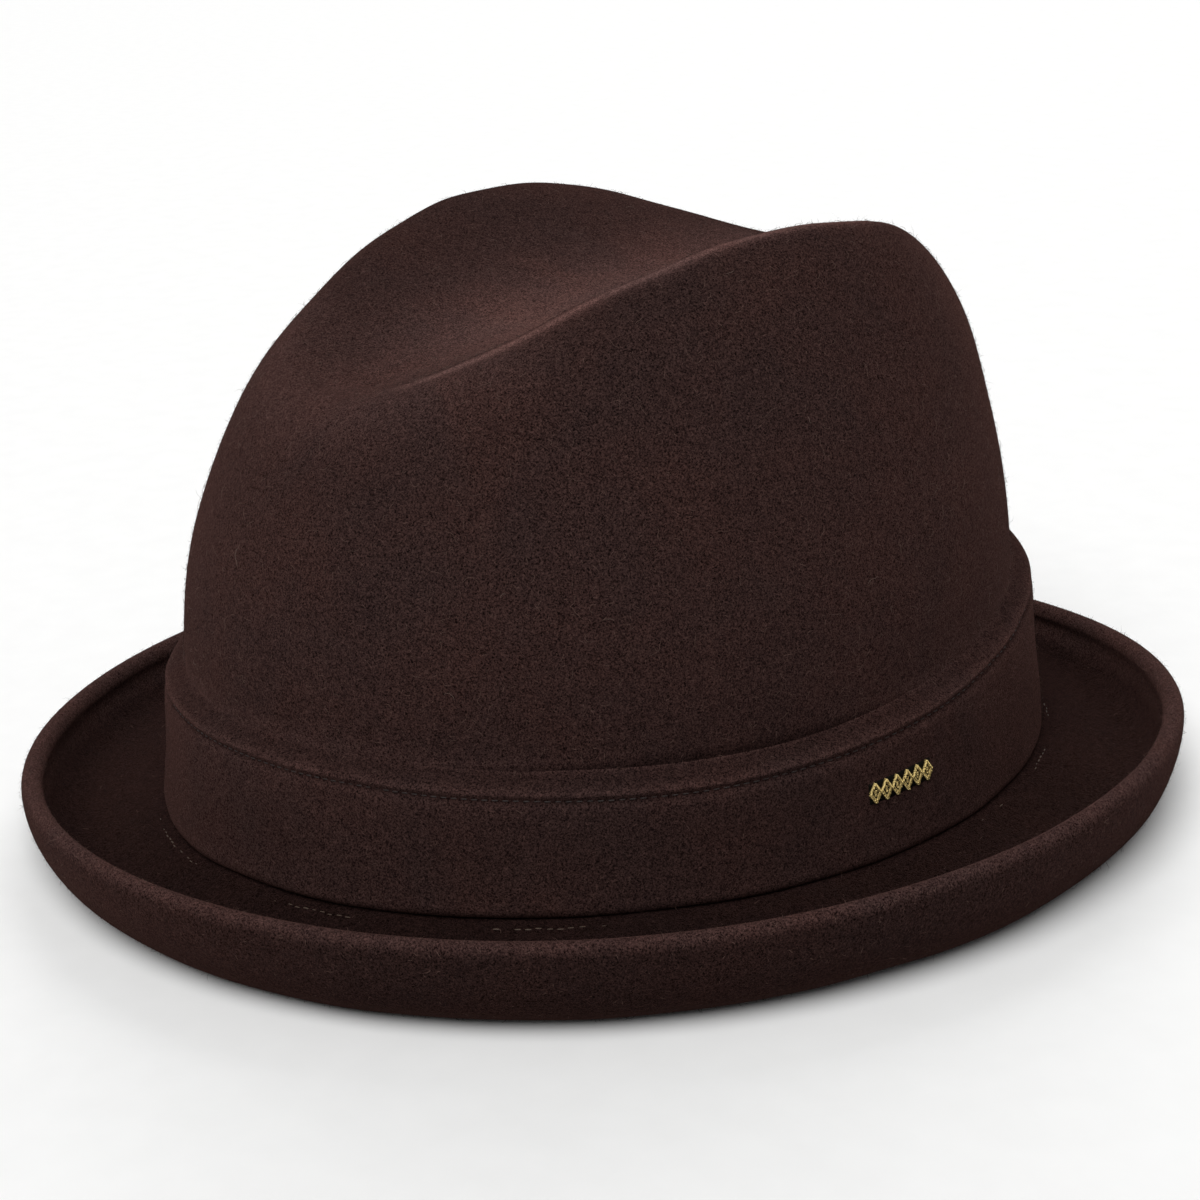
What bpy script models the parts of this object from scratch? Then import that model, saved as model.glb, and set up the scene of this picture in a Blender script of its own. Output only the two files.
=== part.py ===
"""A soft wool felt hat with a dented crown, a self-felt band and a brim rolled up all round.

Metres, +Z up. The front of the hat faces -Y and the wearer's left is +X. The hat stands on the
underside of its brim, on the plane z = 0. Every ring of the hat follows one egg-shaped oval: an
angle says where on the oval a point is (0 at the wearer's left, -90 degrees at the front), and an
offset says how far it lies outside the crown wall.
"""

import math

import bmesh
import bpy
from mathutils import Vector

# --- Driving dimensions -------------------------------------------------------------------------
FELT = 0.0030            # thickness of the blocked felt
GAP = 0.0003             # clearance left between neighbouring pieces
SEGMENTS = 48            # steps round every oval

WALL_HALF_WIDTH = 0.0871     # crown wall outside, side to side
WALL_HALF_LENGTH = 0.1014    # crown wall outside, front to back
WALL_EGG = 0.007             # how much wider the oval is behind than in front
CENTRE_Y = 0.00196           # the oval's middle, which puts the whole outline's middle at y = 0

BAND_FELT = 0.0045           # the band is felt folded double
BAND_FLARE = 0.0032          # the band's lower edge stands out this much further
BAND_FOOT_GAP = 0.0014       # open crease between the band's lower edge and the brim

# Heights round the oval: (mean, rise at the back, at the left, at both sides, twist, two ripples)
BREAK_HEIGHT = (0.0091, 0.0002, 0.0012, -0.0013, -0.0009, 0, 0)
BAND_TOP_HEIGHT = (0.0409, 0.0038, -0.0013, -0.0023, 0.0011, -0.0012, 0)
RIM_HEIGHT = (0.0161, -0.0033, 0.0049, 0.0011, 0.0009, -0.0004, 0.0012)

BRIM_SIDE = 0.0425           # brim width over the sides, from the crown wall
BRIM_FRONT = 0.0351
BRIM_BACK = 0.0312
BRIM_TROUGH = 0.72           # share of the brim's width where it lies lowest
BRIM_SETTLE = 0.0002         # depth pressed flat where the brim rests
BREAK_RADIUS = 0.0012        # inner bend between crown and brim

CROWN_BASE = 0.0372          # height where the crown wall starts to lean in
CREST_HALF_WIDTH = 0.0577    # ridge of the crown, side to side
CREST_FRONT = -0.0684        # ridge's front end
CREST_BACK = 0.0690
CREST_TAPER = 0.182          # the ridge is wider behind than in front
CREST_SQUARENESS = 0.834
CREST_HEIGHT = 0.1323
CREST_RISE = 0.096           # rise of the ridge per metre towards the back
CREST_LEFT = 0.0020          # the left ridge stands this much higher than the middle
CREST_FRONT_DROP = 0.0223
CREST_BACK_DROP = 0.0225
WALL_HANDLE = 0.531          # how far up the wall keeps its upright direction
SHOULDER_HANDLE = 0.40       # how far out the ridge keeps its level direction

VALLEY_LENGTH = 0.85         # length of the dent's floor over the ridge's length
VALLEY_HEIGHT = 0.1125
VALLEY_RISE = 0.0985
VALLEY_SAG = 0.95

SWEATBAND_HEIGHT = 0.033
SWEATBAND_CLOTH = 0.0008
SWEATBAND_LEAN = 0.0030      # its lower edge stands this much further in than its top
REED_RADIUS = 0.0008
HEM_RETURN = 0.004           # how far the hem comes back up behind the sweatband

THREAD_RADIUS = 0.00025
EDGE_STITCH_DROP = 0.0034    # the band's top stitching lies this far under its top edge
SEAM_STITCH_OUT = 0.0014     # the brim seam lies this far outside the band's foot
SEAM_STITCH_UP = 0.0035      # and this far above the sweatband's lower edge, inside

EMBLEM_ANGLE = math.radians(5)
EMBLEM_SIZE = (0.019, 0.0052, 0.0008)
JOIN_ANGLE = math.radians(90)

PAINT = {
    "felt": ((0.050, 0.026, 0.022), 0.95),
    "band_felt": ((0.044, 0.023, 0.020), 0.95),
    "sweatband_cloth": ((0.020, 0.014, 0.012), 0.85),
    "reed_plastic": ((0.60, 0.58, 0.52), 0.5),
    "thread": ((0.30, 0.17, 0.08), 0.7),
    "band_thread": ((0.030, 0.016, 0.013), 0.8),
    "emblem_thread": ((0.55, 0.40, 0.15), 0.5),
    "label_cloth": ((0.65, 0.62, 0.56), 0.8),
}


# --- Outline of the hat -------------------------------------------------------------------------
def wave(angle, mean, back, left, sides, twist, ripple, curl):
    """A height that varies smoothly round the oval."""
    once = mean + back * math.sin(angle) + left * math.cos(angle)
    twice = sides * math.cos(2 * angle) + twist * math.sin(2 * angle)
    return once + twice + ripple * math.cos(3 * angle) + curl * math.sin(3 * angle)


def on_oval(angle, offset, height):
    """The point at this angle and height, this far outside the crown wall."""
    x = WALL_HALF_WIDTH * math.cos(angle) * (1 + WALL_EGG * math.sin(angle))
    y = WALL_HALF_LENGTH * math.sin(angle)
    outward = Vector((math.cos(angle) / WALL_HALF_WIDTH, math.sin(angle) / WALL_HALF_LENGTH, 0))
    return Vector((x, CENTRE_Y + y, height)) + outward.normalized() * offset


def bezier(start, handle_a, handle_b, end, share):
    rest = 1 - share
    a = start * rest**3 + handle_a * (3 * rest**2 * share)
    return a + handle_b * (3 * rest * share**2) + end * share**3


def signed_power(value, power):
    return math.copysign(abs(value) ** power, value)


def crest_point(angle):
    """The ridge that runs round the dent."""
    across = signed_power(math.cos(angle), CREST_SQUARENESS)
    along = math.sin(angle)
    x = CREST_HALF_WIDTH * across * (1 + CREST_TAPER * along)
    y = (CREST_FRONT + CREST_BACK) / 2 + (CREST_BACK - CREST_FRONT) / 2 * along
    z = CREST_HEIGHT + CREST_RISE * y + CREST_LEFT * math.cos(angle)
    z -= CREST_FRONT_DROP * max(-along, 0) ** 1.72
    z -= CREST_BACK_DROP * max(along, 0) ** 2.28
    return Vector((x, CENTRE_Y + y, z))


def valley_point(angle):
    """The floor of the dent, a line along x = 0."""
    middle = (CREST_FRONT + CREST_BACK) / 2
    y = middle + VALLEY_LENGTH * (CREST_BACK - CREST_FRONT) / 2 * math.sin(angle)
    return Vector((0, CENTRE_Y + y, VALLEY_HEIGHT + VALLEY_RISE * y - VALLEY_SAG * y * y))


def level(vector):
    return Vector((vector.x, vector.y, 0))


def dent_point(angle, share):
    """From the dent's floor (0) up to the ridge (1)."""
    floor = valley_point(angle)
    crest = crest_point(angle)
    across = level(crest - floor)
    return bezier(floor, floor + across * 0.42, crest - across * 0.30, crest, share)


def wall_point(angle, share):
    """From the ridge (0) down to the top of the straight wall (1)."""
    crest = crest_point(angle)
    base = on_oval(angle, 0, CROWN_BASE)
    upright = Vector((0, 0, WALL_HANDLE * (crest.z - base.z)))
    shoulder = crest + level(base - crest) * SHOULDER_HANDLE
    return bezier(crest, shoulder, base + upright, base, share)


def brim_width(angle):
    end = BRIM_FRONT if math.sin(angle) < 0 else BRIM_BACK
    return BRIM_SIDE * math.cos(angle) ** 2 + end * math.sin(angle) ** 2


def brim_foot(angle):
    """Height of the felt where the brim leaves the crown, just under the band."""
    return wave(angle, *BREAK_HEIGHT) - BAND_FOOT_GAP


def brim_height(angle, offset):
    """Height of the brim's upper face on its slope down to the trough."""
    share = (offset - BREAK_RADIUS) / (brim_width(angle) * BRIM_TROUGH - BREAK_RADIUS)
    ease = share * share * (3 - 2 * share)
    trough = FELT - BRIM_SETTLE
    return brim_foot(angle) + (trough - brim_foot(angle)) * ease


def slope_point(angle, share):
    """From the break (0) down to the trough (1)."""
    end = brim_width(angle) * BRIM_TROUGH
    offset = BREAK_RADIUS + (end - BREAK_RADIUS) * share
    return on_oval(angle, offset, brim_height(angle, offset))


def roll_point(angle, share):
    """From the trough (0) up the rolled edge to the rim (1)."""
    turn = math.pi / 2 * share
    width = brim_width(angle)
    trough = FELT - BRIM_SETTLE
    offset = width * (BRIM_TROUGH + (1 - BRIM_TROUGH) * math.sin(turn))
    rise = wave(angle, *RIM_HEIGHT) - trough
    return on_oval(angle, offset, trough + rise * (1 - math.cos(turn)))


def break_point(angle, share):
    """The small bend from the upright wall (0) to the brim (1)."""
    turn = math.pi / 2 * share
    offset = BREAK_RADIUS * (1 - math.cos(turn))
    return on_oval(angle, offset, brim_foot(angle) + BREAK_RADIUS * (1 - math.sin(turn)))


# --- Builders -----------------------------------------------------------------------------------
def steps(count, first=0):
    return [i / count for i in range(first, count + 1)]


def oval_angles():
    return [2 * math.pi * i / SEGMENTS for i in range(SEGMENTS)]


def new_collection(name):
    collection = bpy.data.collections.new(name)
    bpy.context.scene.collection.children.link(collection)
    return collection


def paint(obj, slot):
    colour, roughness = PAINT[slot]
    material = bpy.data.materials.get(slot) or bpy.data.materials.new(slot)
    material.use_nodes = True
    shader = material.node_tree.nodes["Principled BSDF"]
    shader.inputs["Base Color"].default_value = (*colour, 1)
    shader.inputs["Roughness"].default_value = roughness
    shader.inputs["Metallic"].default_value = 0.0
    obj.data.materials.append(material)


def loft(name, rows, closed, slot, collection):
    """An open surface through rows of points; closed joins each row's end to its start."""
    mesh = bpy.data.meshes.new(name)
    surface = bmesh.new()
    lines = [[surface.verts.new(point) for point in row] for row in rows]
    for upper, lower in zip(lines, lines[1:]):
        last = len(upper) if closed else len(upper) - 1
        for i in range(last):
            j = (i + 1) % len(upper)
            surface.faces.new((upper[i], lower[i], lower[j], upper[j]))
    bmesh.ops.remove_doubles(surface, verts=surface.verts, dist=1e-6)
    bmesh.ops.recalc_face_normals(surface, faces=surface.faces)
    surface.to_mesh(mesh)
    surface.free()
    mesh.shade_smooth()
    obj = bpy.data.objects.new(name, mesh)
    collection.objects.link(obj)
    paint(obj, slot)
    return obj


def thicken(obj, thickness, side):
    """Gives a surface its thickness: side -1 lays it inside, 1 outside, 0 half and half."""
    solid = obj.modifiers.new("thickness", "SOLIDIFY")
    solid.thickness = thickness
    solid.offset = side
    solid.use_even_offset = True
    solid.use_quality_normals = True


def thread_ring(name, points, radius, slot, collection, closed=True):
    """A cord through these points, closed into a ring unless said otherwise."""
    curve = bpy.data.curves.new(name, "CURVE")
    curve.dimensions = "3D"
    curve.bevel_depth = radius
    curve.bevel_resolution = 2
    curve.use_fill_caps = not closed
    spline = curve.splines.new("POLY")
    spline.points.add(len(points) - 1)
    for slot_point, point in zip(spline.points, points):
        slot_point.co = (*point, 1)
    spline.use_cyclic_u = closed
    obj = bpy.data.objects.new(name, curve)
    collection.objects.link(obj)
    paint(obj, slot)
    return obj


# --- Sub-parts ----------------------------------------------------------------------------------
def felt_body(collection, cutters):
    """Crown and brim, one blocked felt shell that is open below."""
    angles = oval_angles()
    rows = [[dent_point(a, s) for a in angles] for s in steps(7)]
    rows += [[wall_point(a, s) for a in angles] for s in steps(12, 1)]
    rows += [[break_point(a, s) for a in angles] for s in steps(2)]
    rows += [[slope_point(a, s) for a in angles] for s in steps(4, 1)]
    rows += [[roll_point(a, s) for a in angles] for s in steps(6, 1)]
    body = loft("felt_body", rows, True, "felt", collection)
    thicken(body, FELT, -1)
    bpy.ops.mesh.primitive_cube_add(size=1, location=(0, 0, -0.01))
    cutter = bpy.context.object
    cutter.name = "rest_plane_cutter"
    cutter.scale = (0.4, 0.4, 0.02)
    cutter.hide_render = True
    cutter.display_type = "WIRE"
    cutter.users_collection[0].objects.unlink(cutter)
    cutters.objects.link(cutter)
    flatten = body.modifiers.new("resting face", "BOOLEAN")
    flatten.operation = "DIFFERENCE"
    flatten.solver = "EXACT"
    flatten.object = cutter
    return body


def strip_angles(gap_angle):
    """Angles from the join round to the join again, leaving it open by gap_angle."""
    angles = [JOIN_ANGLE + 2 * math.pi * i / SEGMENTS for i in range(SEGMENTS + 1)]
    angles[0] += gap_angle
    angles[-1] -= gap_angle
    return angles


def band_offset(share):
    """How far out the band's face stands, from its lower edge (0) to its upper edge (1)."""
    return GAP + BAND_FELT + BAND_FLARE * (1 - share) ** 1.3


def band_face(angle, share, lift=0):
    """A point on the band's outer face, or lifted off it."""
    foot = wave(angle, *BREAK_HEIGHT)
    top = wave(angle, *BAND_TOP_HEIGHT)
    return on_oval(angle, band_offset(share) + lift, foot + (top - foot) * share)


def band_share(angle, drop):
    """How far up the band a line this far below its upper edge lies."""
    return 1 - drop / (wave(angle, *BAND_TOP_HEIGHT) - wave(angle, *BREAK_HEIGHT))


def hat_band(collection):
    """A strip of the same felt round the foot of the crown, its ends meeting at the back."""
    angles = strip_angles(GAP / 2 / WALL_HALF_WIDTH)
    rows = [[band_face(a, s) for a in angles] for s in (0, 0.12, 0.5, 0.88, 1)]
    band = loft("hat_band", rows[::-1], False, "band_felt", collection)
    thicken(band, BAND_FELT, -1)
    return band


def band_edge_thread(collection):
    points = []
    for angle in oval_angles():
        share = band_share(angle, EDGE_STITCH_DROP)
        points.append(band_face(angle, share, GAP + THREAD_RADIUS))
    thread_ring("band_edge_thread", points, THREAD_RADIUS, "band_thread", collection)


def band_join_thread(collection):
    """The stitches that close the band at the back, as one upright thread."""
    top = band_share(JOIN_ANGLE, 2 * EDGE_STITCH_DROP)
    lift = 2 * GAP + THREAD_RADIUS
    points = [band_face(JOIN_ANGLE, top * s, lift) for s in steps(4)]
    thread_ring("band_join_thread", points, THREAD_RADIUS, "band_thread", collection, closed=False)


def patch(name, angle, size, lift, face, slot, collection):
    """A small cloth piece of size (width, height, thickness) laid on a face of the hat."""
    width, height, thickness = size
    columns = []
    for across in steps(4):
        turn = (across - 0.5) * width / math.hypot(
            WALL_HALF_WIDTH * math.sin(angle), WALL_HALF_LENGTH * math.cos(angle)
        )
        columns.append(angle + turn)
    rows = [[face(a, lift, up * height) for a in columns] for up in (1, 0.5, 0)]
    piece = loft(name, rows, False, slot, collection)
    thicken(piece, thickness, 0)


def side_emblem(collection):
    """The embroidered mark on the band at the wearer's left."""
    half_band = (wave(EMBLEM_ANGLE, *BAND_TOP_HEIGHT) - wave(EMBLEM_ANGLE, *BREAK_HEIGHT)) / 2

    def face(angle, lift, up):
        drop = half_band + EMBLEM_SIZE[1] / 2 - up
        return band_face(angle, band_share(angle, drop), lift)

    lift = 2 * GAP + EMBLEM_SIZE[2] / 2
    patch("side_emblem", EMBLEM_ANGLE, EMBLEM_SIZE, lift, face, "emblem_thread", collection)


def sweatband_foot(angle):
    return wave(angle, *BREAK_HEIGHT) - 0.0005


def sweatband_offset(share):
    """How far out the sweatband's cloth lies, from its lower edge (0) to its top (1)."""
    top = -FELT - GAP - SWEATBAND_CLOTH / 2
    return top - SWEATBAND_LEAN * (1 - share)


def sweatband_section(angle):
    """Down the face of the sweatband, round the reed and up the hem behind it."""
    foot = sweatband_foot(angle)
    loop = REED_RADIUS + GAP + SWEATBAND_CLOTH / 2
    section = []
    for share in (1, 0.66, 0.33, 0):
        section.append(on_oval(angle, sweatband_offset(share), foot + SWEATBAND_HEIGHT * share))
    for i in range(1, 5):
        turn = math.pi * i / 4
        offset = sweatband_offset(0) + loop * (1 - math.cos(turn))
        section.append(on_oval(angle, offset, foot - loop * math.sin(turn)))
    section.append(on_oval(angle, sweatband_offset(0) + 2 * loop, foot + HEM_RETURN))
    return section


def sweatband(collection):
    """The cloth strip against the head, its ends meeting at the back under a tape."""
    angles = strip_angles(GAP / 2 / WALL_HALF_WIDTH)
    rows = list(zip(*[sweatband_section(a) for a in angles]))
    band = loft("sweatband", rows, False, "sweatband_cloth", collection)
    thicken(band, SWEATBAND_CLOTH, 0)


def sweatband_reed(collection):
    """The plastic cord in the sweatband's hem that keeps the head opening's shape."""
    loop = REED_RADIUS + GAP + SWEATBAND_CLOTH / 2
    points = []
    for angle in oval_angles():
        points.append(on_oval(angle, sweatband_offset(0) + loop, sweatband_foot(angle)))
    thread_ring("sweatband_reed", points, REED_RADIUS, "reed_plastic", collection)


def on_sweatband(angle, lift, up):
    """A point on the sweatband's inner face, lifted towards the head."""
    share = up / SWEATBAND_HEIGHT
    offset = sweatband_offset(share) - SWEATBAND_CLOTH / 2 - lift
    return on_oval(angle, offset, sweatband_foot(angle) + up)


def seam_threads(collection):
    """The seam that holds the sweatband: one thread shows on the brim, one on the sweatband."""
    outer = []
    inner = []
    for angle in oval_angles():
        offset = band_offset(0) + SEAM_STITCH_OUT
        height = brim_height(angle, offset) + 2 * GAP + THREAD_RADIUS
        outer.append(on_oval(angle, offset, height))
        inner.append(on_sweatband(angle, GAP + THREAD_RADIUS, SEAM_STITCH_UP))
    thread_ring("seam_needle_thread", outer, THREAD_RADIUS, "thread", collection)
    thread_ring("seam_bobbin_thread", inner, THREAD_RADIUS, "thread", collection)


def label(name, angle, size, low, slot, collection):
    """A cloth label on the sweatband's inner face, its lower edge at height low on it."""
    lift = 2 * GAP + size[2] / 2

    def face(turn, out, up):
        return on_sweatband(turn, out, low + up)

    patch(name, angle, size, lift, face, slot, collection)


def labels(collection):
    label("sweatband_join_tape", JOIN_ANGLE, (0.012, 0.026, 0.0005), 0.0055,
          "sweatband_cloth", collection)
    label("size_label", math.radians(76), (0.014, 0.016, 0.0004), 0.0130,
          "label_cloth", collection)
    label("care_label", math.radians(106), (0.018, 0.022, 0.0004), 0.0080,
          "label_cloth", collection)
    label("maker_label", math.radians(-90), (0.042, 0.020, 0.0005), 0.0085,
          "label_cloth", collection)


def main():
    for obj in list(bpy.data.objects):
        bpy.data.objects.remove(obj)
    hat = new_collection("felt_hat")
    cutters = new_collection("cutters")
    felt_body(hat, cutters)
    hat_band(hat)
    band_edge_thread(hat)
    band_join_thread(hat)
    side_emblem(hat)
    sweatband(hat)
    sweatband_reed(hat)
    seam_threads(hat)
    labels(hat)


main()
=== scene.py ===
"""The looks of the felt hat: brushed felt crown and brim, self-felt band, stitches, emblem and sweatband.

Metres, +Z up, the front of the hat faces -Y and the wearer's left is +X. Every ring of the hat follows
one oval: an angle says where on the oval a point is (0 at the wearer's left, -90 degrees at the front),
and an offset says how far it lies outside the crown wall.
"""

import math

import bmesh
import bpy
import numpy as np
from mathutils import Matrix, Vector

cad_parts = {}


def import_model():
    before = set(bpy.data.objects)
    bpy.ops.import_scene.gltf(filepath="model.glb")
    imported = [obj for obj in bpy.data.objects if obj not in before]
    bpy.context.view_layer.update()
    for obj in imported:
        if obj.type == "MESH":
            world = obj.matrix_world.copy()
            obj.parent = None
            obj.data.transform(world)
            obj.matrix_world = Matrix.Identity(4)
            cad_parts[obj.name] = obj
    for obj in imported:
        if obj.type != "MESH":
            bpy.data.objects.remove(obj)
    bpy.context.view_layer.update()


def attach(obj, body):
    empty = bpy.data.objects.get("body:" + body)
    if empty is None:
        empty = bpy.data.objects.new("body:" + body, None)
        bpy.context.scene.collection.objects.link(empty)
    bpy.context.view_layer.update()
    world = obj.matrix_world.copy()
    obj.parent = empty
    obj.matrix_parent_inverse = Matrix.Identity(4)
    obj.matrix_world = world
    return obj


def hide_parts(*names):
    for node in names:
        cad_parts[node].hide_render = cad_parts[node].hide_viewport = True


# --- Driving dimensions: the CAD model's, and finer ones of felt, thread and cloth --------------
FELT = 0.0030
GAP = 0.0003
CENTRE_Y = 0.00196
WALL_HALF_WIDTH = 0.0871
WALL_HALF_LENGTH = 0.1014
WALL_EGG = 0.007

# Heights round the oval: (mean, rise at the back, at the left, at both sides, twist, two ripples)
BREAK_HEIGHT = (0.0091, 0.0002, 0.0012, -0.0013, -0.0009, 0, 0)
BAND_TOP_HEIGHT = (0.0409, 0.0038, -0.0013, -0.0023, 0.0011, -0.0012, 0)
RIM_HEIGHT = (0.0161, -0.0033, 0.0049, 0.0011, 0.0009, -0.0004, 0.0012)

BAND_FELT = 0.0045
BAND_FLARE = 0.0032
BAND_FOOT_GAP = 0.0014
BAND_SAG = 0.0017            # the soft lower edge sinks this far towards the brim
BAND_SHOULDER = 0.0024       # the top edge starts to round over this far down
BAND_FEATHER = 0.0022        # and thins out this far up the crown
BAND_TOP_TURN = 0.0053       # the top edge comes in this far over its whole round
BAND_FOOT_ROUND = 0.0022
BAND_FOOT_TURN = 0.0014      # and the foot comes in this far
GROOVE_DROP = 0.0034         # the sunk stitching lies this far below the top edge
GROOVE_DEPTH = 0.0009
GROOVE_REACH = 0.0010
STITCH_PITCH = 0.0021
STITCH_LENGTH = 0.0016
THREAD_RADIUS = 0.00016
BAND_RADIUS = 0.1            # mean radii of the rows of stitches, for counting the stitches out
SEAM_RADIUS = 0.102
SWEATBAND_RADIUS = 0.088

BRIM_SIDE = 0.0425
BRIM_FRONT = 0.0351
BRIM_BACK = 0.0312
BRIM_TROUGH = 0.72
BREAK_RADIUS = 0.0012
RIM_SWELL = 0.0018           # the brushed rim is this much thicker than the felt
RIM_ROUND = 1.35             # and its round is this much taller than a half circle

CROWN_BASE = 0.0372
CREST_HALF_WIDTH = 0.0577
CREST_FRONT = -0.0684
CREST_BACK = 0.0690
CREST_TAPER = 0.182
CREST_SQUARENESS = 0.834
CREST_HEIGHT = 0.1323
CREST_RISE = 0.096
CREST_LEFT = 0.0020
CREST_FRONT_DROP = 0.0223
CREST_BACK_DROP = 0.0225
WALL_HANDLE = 0.531
SHOULDER_HANDLE = 0.40
DENT_HANDLE = 0.22
VALLEY_LENGTH = 0.85
VALLEY_HEIGHT = 0.1125
VALLEY_RISE = 0.0985
VALLEY_SAG = 0.95

SWEATBAND_HEIGHT = 0.033
SWEATBAND_CLOTH = 0.0008
SWEATBAND_LEAN = 0.0030
REED_RADIUS = 0.0008
HEM_RETURN = 0.004
SEAM_STITCH_OUT = 0.0014
SEAM_STITCH_UP = 0.0035
TOP_STITCH_DROP = 0.0040     # the sweatband's upper row of stitches, below its top
LABEL_RISE = 0.00045         # how far a label's cloth stands off the sweatband
LABEL_BULGE = 0.0003         # and how much further in its middle
LABEL_INSET = 0.0011         # its stitches lie this far inside its edge

JOIN_ANGLE = math.pi / 2
EMBLEM_ANGLE = math.radians(5)
EMBLEM_WIDTH = 0.0185
EMBLEM_HEIGHT = 0.0050
EMBLEM_LOZENGES = 6
LOZENGE_BAR = 0.00070        # width of a lozenge's sides
INNER_BAR = 0.00055
SATIN_PITCH = 0.00019
SATIN_RADIUS = 0.00013

# Painted light and shade multiplied into the felt's colour, where 1 is the crown's: painted highlights and
# painted shade
RIDGE_PAINTED_HIGHLIGHT = 2.50            # added on the ridge at the wearer's left
DENT_PAINTED_LIGHT = 1.60             # added on the dent's floor
FRONT_PAINTED_LIGHT = 0.50            # added where the dent runs out over the front
TROUGH_PAINTED_SHADE = 0.16
BRIM_PAINTED_SHADE = 0.33
RIM_PAINTED_HIGHLIGHT = 1.55
UNDER_PAINTED_SHADE = 0.60
SHEEN = 0.13                 # how much light raised fibres catch at a glancing angle

FIBRE_LENGTH = 0.0011
FIBRE_WIDTH = 0.00006
FIBRE_LEAN = 0.35            # how steeply a fibre leans out of the felt, in radians
HAIR_LENGTH = 0.0026

AROUND = 288                 # steps round the fine surfaces
DENT_ROWS = 28               # rows of the felt, from the dent's floor out to the rim's round end
WALL_ROWS = 54
BEND_ROWS = 3
SLOPE_ROWS = 14
ROLL_ROWS = 18
EDGE_ROWS = 10
RIDGE_ROW = DENT_ROWS
BREAK_ROW = RIDGE_ROW + WALL_ROWS
RIM_ROW = BREAK_ROW + BEND_ROWS + 1 + SLOPE_ROWS + ROLL_ROWS
UNDER_BREAK_ROW = RIM_ROW + EDGE_ROWS + ROLL_ROWS + SLOPE_ROWS + 2
RNG = np.random.default_rng(7)


# --- Outline of the hat -------------------------------------------------------------------------
def wave(angle, mean, back, left, sides, twist, ripple, curl):
    """A height that varies smoothly round the oval."""
    once = mean + back * np.sin(angle) + left * np.cos(angle)
    twice = sides * np.cos(2 * angle) + twist * np.sin(2 * angle)
    return once + twice + ripple * np.cos(3 * angle) + curl * np.sin(3 * angle)


def points(x, y, z):
    return np.stack(np.broadcast_arrays(x, y, z), axis=-1)


def unit(vectors):
    return vectors / np.maximum(np.linalg.norm(vectors, axis=-1, keepdims=True), 1e-12)


def outward(angle):
    return unit(points(np.cos(angle) / WALL_HALF_WIDTH, np.sin(angle) / WALL_HALF_LENGTH, 0.0))


def on_oval(angle, offset, height):
    """The point at this angle and height, this far outside the crown wall."""
    x = WALL_HALF_WIDTH * np.cos(angle) * (1 + WALL_EGG * np.sin(angle))
    y = CENTRE_Y + WALL_HALF_LENGTH * np.sin(angle)
    return points(x, y, height) + outward(angle) * np.asarray(offset)[..., None]


def bezier(start, handle_a, handle_b, end, share):
    rest = 1 - share
    a = start * rest**3 + handle_a * (3 * rest**2 * share)
    return a + handle_b * (3 * rest * share**2) + end * share**3


def crest(angle):
    """The ridge that runs round the dent."""
    along = np.sin(angle)
    across = np.sign(np.cos(angle)) * np.abs(np.cos(angle)) ** CREST_SQUARENESS
    x = CREST_HALF_WIDTH * across * (1 + CREST_TAPER * along)
    y = (CREST_FRONT + CREST_BACK) / 2 + (CREST_BACK - CREST_FRONT) / 2 * along
    z = CREST_HEIGHT + CREST_RISE * y + CREST_LEFT * np.cos(angle)
    z = z - CREST_FRONT_DROP * np.maximum(-along, 0) ** 1.72
    z = z - CREST_BACK_DROP * np.maximum(along, 0) ** 2.28
    return points(x, CENTRE_Y + y, z)


def valley(angle):
    """The floor of the dent, a line along x = 0."""
    middle = (CREST_FRONT + CREST_BACK) / 2
    y = middle + VALLEY_LENGTH * (CREST_BACK - CREST_FRONT) / 2 * np.sin(angle)
    return points(0.0, CENTRE_Y + y, VALLEY_HEIGHT + VALLEY_RISE * y - VALLEY_SAG * y * y)


def level(vectors):
    return vectors * np.array((1.0, 1.0, 0.0))


def dent_row(angle, share):
    """From the dent's floor (0) up to the ridge (1)."""
    floor = valley(angle)
    ridge = crest(angle)
    across = level(ridge - floor)
    return bezier(floor, floor + across * 0.42, ridge - across * DENT_HANDLE, ridge, share)


def wall_row(angle, share):
    """From the ridge (0) down to the top of the straight wall (1)."""
    ridge = crest(angle)
    base = on_oval(angle, 0 * angle, CROWN_BASE)
    upright = WALL_HANDLE * (ridge - base) * np.array((0.0, 0.0, 1.0))
    shoulder = ridge + level(base - ridge) * SHOULDER_HANDLE
    return bezier(ridge, shoulder, base + upright, base, share)


def brim_width(angle):
    end = np.where(np.sin(angle) < 0, BRIM_FRONT, BRIM_BACK)
    return BRIM_SIDE * np.cos(angle) ** 2 + end * np.sin(angle) ** 2


def brim_foot(angle):
    return wave(angle, *BREAK_HEIGHT) - BAND_FOOT_GAP


def brim_height(angle, offset):
    """Height of the brim's upper face on its slope down to the trough."""
    share = (offset - BREAK_RADIUS) / (brim_width(angle) * BRIM_TROUGH - BREAK_RADIUS)
    ease = share * share * (3 - 2 * share)
    return brim_foot(angle) + (FELT - brim_foot(angle)) * ease


def bend_row(angle, share):
    """The small bend from the upright wall (0) to the brim (1)."""
    turn = math.pi / 2 * share
    offset = BREAK_RADIUS * (1 - math.cos(turn)) + 0 * angle
    return on_oval(angle, offset, brim_foot(angle) + BREAK_RADIUS * (1 - math.sin(turn)))


def slope_row(angle, share):
    """From the break (0) down to the trough (1)."""
    end = brim_width(angle) * BRIM_TROUGH
    offset = BREAK_RADIUS + (end - BREAK_RADIUS) * share
    return on_oval(angle, offset, brim_height(angle, offset))


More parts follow.
